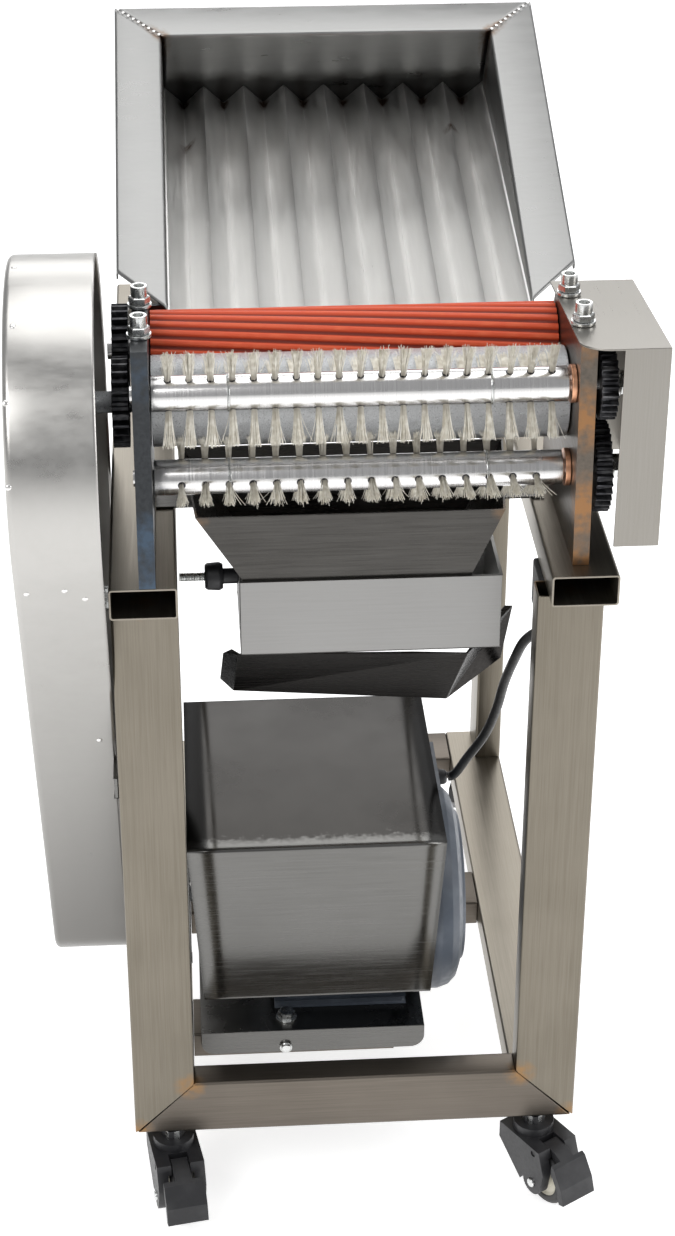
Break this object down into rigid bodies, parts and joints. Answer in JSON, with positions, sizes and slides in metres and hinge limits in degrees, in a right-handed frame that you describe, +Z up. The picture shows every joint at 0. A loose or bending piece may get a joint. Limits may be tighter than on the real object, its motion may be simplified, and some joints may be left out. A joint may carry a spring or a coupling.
{
  "type": "roller pod sheller",
  "caption": "Powered pod sheller on a steel tube frame with casters: a sloping ribbed tray feeds a rubber and a knurled roller, brush rollers and a chute.",
  "frame": {"origin": "on the floor, under the middle of the whole machine", "axes": "+Z up, -Y towards the side with the brush rollers, +X to the right of a person who faces that side"},
  "size_m": [0.465, 0.6442, 0.8808],
  "materials": {
    "frame_steel": "brushed stainless tube with a warm tint",
    "sheet_steel": "brushed stainless sheet",
    "plate_steel": "dark cut plate with heat tint",
    "turned_steel": "polished turned steel",
    "knurled_steel": "fine knurled steel",
    "orange_rubber": "ribbed orange-red rubber",
    "nylon": "off-white nylon bristle",
    "bronze": "plain bronze bush",
    "zinc": "bright zinc plate",
    "gear_black": "blackened steel gear",
    "iron": "cast pulley",
    "belt": "black belt rubber",
    "motor_paint": "blue-grey enamel",
    "black_plastic": "black moulded plastic",
    "wheel_tread": "hard black tread",
    "cable_black": "black cable sheath",
    "button_red": "red push button"
  },
  "bodies": {
    "frame": {"leg_front_left": "frame_steel", "leg_front_right": "frame_steel", "leg_rear_left": "frame_steel", "leg_rear_right": "frame_steel", "rail_bottom_front": "frame_steel", "rail_bottom_left": "frame_steel", "rail_bottom_right": "frame_steel", "rail_bottom_rear": "frame_steel", "crossrail_front": "frame_steel", "crossrail_rear": "frame_steel", "rail_top_left": "frame_steel", "rail_top_right": "frame_steel", "side_plate_left": "plate_steel", "side_plate_right": "plate_steel", "brush_bush_upper": "bronze", "brush_bush_lower": "bronze", "adjust_bolt_left_front": "zinc", "adjust_bolt_left_rear": "zinc", "adjust_bolt_right_front": "zinc", "adjust_bolt_right_rear": "zinc", "drive_belt": "belt", "motor_body": "motor_paint", "motor_cowl": "motor_paint", "motor_base": "sheet_steel", "motor_cover": "sheet_steel", "belt_guard": "sheet_steel", "brush_drive_cover": "sheet_steel", "feed_tray": "sheet_steel", "tray_support": "sheet_steel", "hopper": "sheet_steel", "sieve_box": "sheet_steel", "lower_chute": "sheet_steel", "switch_box": "black_plastic", "motor_lead": "cable_black"},
    "knurled_shaft": {"knurled_roller": "knurled_steel", "gear_knurled": "gear_black", "gear_brush_drive": "gear_black", "drive_pulley": "iron"},
    "rubber_shaft": {"rubber_roller_shaft": "turned_steel", "rubber_roller": "orange_rubber", "gear_rubber": "gear_black"},
    "upper_brush": {"brush_upper_shaft": "turned_steel", "brush_upper_bristles": "nylon", "gear_brush_upper": "gear_black"},
    "lower_brush": {"brush_lower_shaft": "turned_steel", "brush_lower_bristles": "nylon", "gear_brush_lower": "gear_black"},
    "motor_rotor": {"motor_pulley": "iron"},
    "sieve_knob": {"box_knob": "black_plastic"},
    "switch_plunger": {"switch_button": "button_red"},
    "caster_front_left_swivel": {"caster_fork_front_left": "black_plastic"},
    "caster_front_left_wheel": {"caster_wheel_front_left": "wheel_tread"},
    "caster_front_left_brake": {"caster_pedal_front_left": "black_plastic"},
    "caster_front_right_swivel": {"caster_fork_front_right": "black_plastic"},
    "caster_front_right_wheel": {"caster_wheel_front_right": "wheel_tread"},
    "caster_front_right_brake": {"caster_pedal_front_right": "black_plastic"},
    "caster_rear_left_swivel": {"caster_fork_rear_left": "black_plastic"},
    "caster_rear_left_wheel": {"caster_wheel_rear_left": "wheel_tread"},
    "caster_rear_right_swivel": {"caster_fork_rear_right": "black_plastic"},
    "caster_rear_right_wheel": {"caster_wheel_rear_right": "wheel_tread"}
  },
  "joints": [
    {"name": "knurled_spin", "type": "hinge", "parent": "frame", "child": "knurled_shaft", "pos_m": [0.02, -0.19516, 0.712], "axis": [1, 0, 0], "continuous": true},
    {"name": "rubber_spin", "type": "hinge", "parent": "frame", "child": "rubber_shaft", "pos_m": [0.02, -0.13471, 0.72786], "axis": [1, 0, 0], "continuous": true},
    {"name": "upper_brush_spin", "type": "hinge", "parent": "frame", "child": "upper_brush", "pos_m": [0.02, -0.23837, 0.73715], "axis": [1, 0, 0], "continuous": true, "deforming": ["brush_upper_bristles"]},
    {"name": "lower_brush_spin", "type": "hinge", "parent": "frame", "child": "lower_brush", "pos_m": [0.02, -0.22946, 0.66648], "axis": [1, 0, 0], "continuous": true, "deforming": ["brush_lower_bristles"]},
    {"name": "motor_spin", "type": "hinge", "parent": "frame", "child": "motor_rotor", "pos_m": [-0.2035, -0.09516, 0.1978], "axis": [1, 0, 0], "continuous": true},
    {"name": "caster_front_left_turn", "type": "hinge", "parent": "frame", "child": "caster_front_left_swivel", "pos_m": [-0.136, -0.25466, 0.04], "axis": [0, 0, 1], "continuous": true},
    {"name": "caster_front_left_roll", "type": "hinge", "parent": "caster_front_left_swivel", "child": "caster_front_left_wheel", "pos_m": [-0.13183, -0.2783, 0.025], "axis": [0.9848, 0.1736, 0], "continuous": true},
    {"name": "caster_front_left_pedal", "type": "hinge", "parent": "caster_front_left_swivel", "child": "caster_front_left_brake", "pos_m": [-0.13183, -0.2783, 0.056], "axis": [0.9848, 0.1736, 0], "range_deg": [-18, 0]},
    {"name": "caster_front_right_turn", "type": "hinge", "parent": "frame", "child": "caster_front_right_swivel", "pos_m": [0.167, -0.25466, 0.04], "axis": [0, 0, 1], "continuous": true},
    {"name": "caster_front_right_roll", "type": "hinge", "parent": "caster_front_right_swivel", "child": "caster_front_right_wheel", "pos_m": [0.17972, -0.27501, 0.025], "axis": [0.848, 0.5299, 0], "continuous": true},
    {"name": "caster_front_right_pedal", "type": "hinge", "parent": "caster_front_right_swivel", "child": "caster_front_right_brake", "pos_m": [0.17972, -0.27501, 0.056], "axis": [0.848, 0.5299, 0], "range_deg": [-18, 0]},
    {"name": "caster_rear_left_turn", "type": "hinge", "parent": "frame", "child": "caster_rear_left_swivel", "pos_m": [-0.142, 0.27284, 0.04], "axis": [0, 0, 1], "continuous": true},
    {"name": "caster_rear_left_roll", "type": "hinge", "parent": "caster_rear_left_swivel", "child": "caster_rear_left_wheel", "pos_m": [-0.14617, 0.29648, 0.025], "axis": [-0.9848, -0.1736, 0], "continuous": true},
    {"name": "caster_rear_right_turn", "type": "hinge", "parent": "frame", "child": "caster_rear_right_swivel", "pos_m": [0.173, 0.27284, 0.04], "axis": [0, 0, 1], "continuous": true},
    {"name": "caster_rear_right_roll", "type": "hinge", "parent": "caster_rear_right_swivel", "child": "caster_rear_right_wheel", "pos_m": [0.17921, 0.29602, 0.025], "axis": [-0.9659, 0.2588, 0], "continuous": true},
    {"name": "sieve_knob_turn", "type": "hinge", "parent": "frame", "child": "sieve_knob", "pos_m": [-0.0845, -0.17916, 0.556], "axis": [1, 0, 0], "continuous": true},
    {"name": "switch_press", "type": "slide", "parent": "frame", "child": "switch_plunger", "axis": [0, -1, 0], "range_m": [0, 0.003], "stiffness_N_per_m": 250}
  ],
  "couplings": [
    {"joint": "rubber_spin", "follows": "knurled_spin", "ratio": -1},
    {"joint": "upper_brush_spin", "follows": "knurled_spin", "ratio": -1},
    {"joint": "lower_brush_spin", "follows": "knurled_spin", "ratio": -0.78125},
    {"joint": "motor_spin", "follows": "knurled_spin", "ratio": 3.8333}
  ]
}
